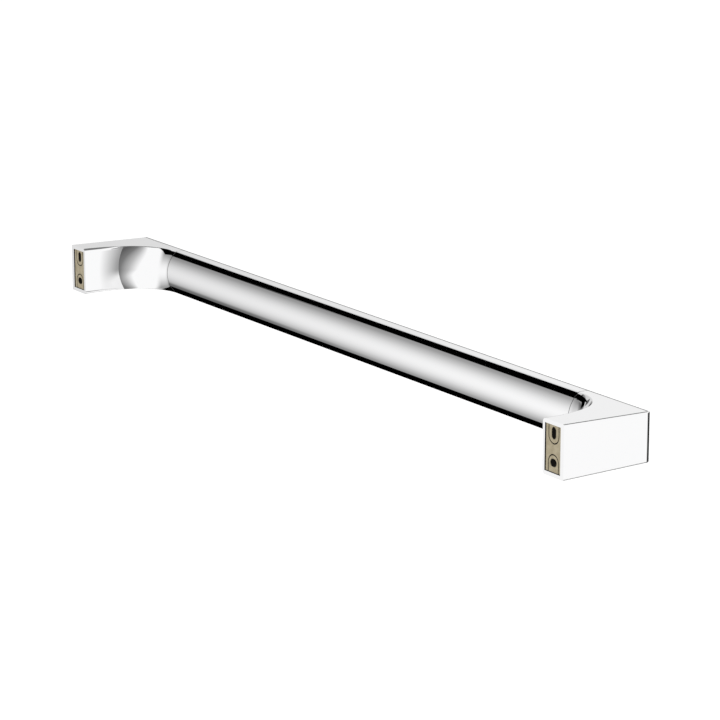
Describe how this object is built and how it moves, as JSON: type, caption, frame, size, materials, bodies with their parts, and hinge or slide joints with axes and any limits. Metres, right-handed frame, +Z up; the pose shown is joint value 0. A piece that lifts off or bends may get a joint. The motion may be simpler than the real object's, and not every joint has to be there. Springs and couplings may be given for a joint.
{
  "type": "towel rail",
  "caption": "Wall-mounted towel rail: a flat-fronted bar with a rounded back that blends at each end into a square hollow post, which closes over a slotted wall bracket.",
  "frame": {"origin": "midway between the centres of the two lower, level screw slots, on the brackets' back faces", "axes": "+X along the rail to the right as someone facing the wall sees it, +Y into the wall, +Z up; the front faces -Y"},
  "size_m": [0.622, 0.066, 0.035],
  "materials": {
    "bar_chrome": "polished",
    "end_chrome": "polished",
    "bracket_satin": "satin",
    "screw_steel": "satin"
  },
  "bodies": {
    "root": {"rail_bar": "bar_chrome", "end_left": "end_chrome", "end_right": "end_chrome", "bracket_left": "bracket_satin", "bracket_right": "bracket_satin", "clamp_screw_left": "screw_steel", "clamp_screw_right": "screw_steel"}
  },
  "joints": []
}
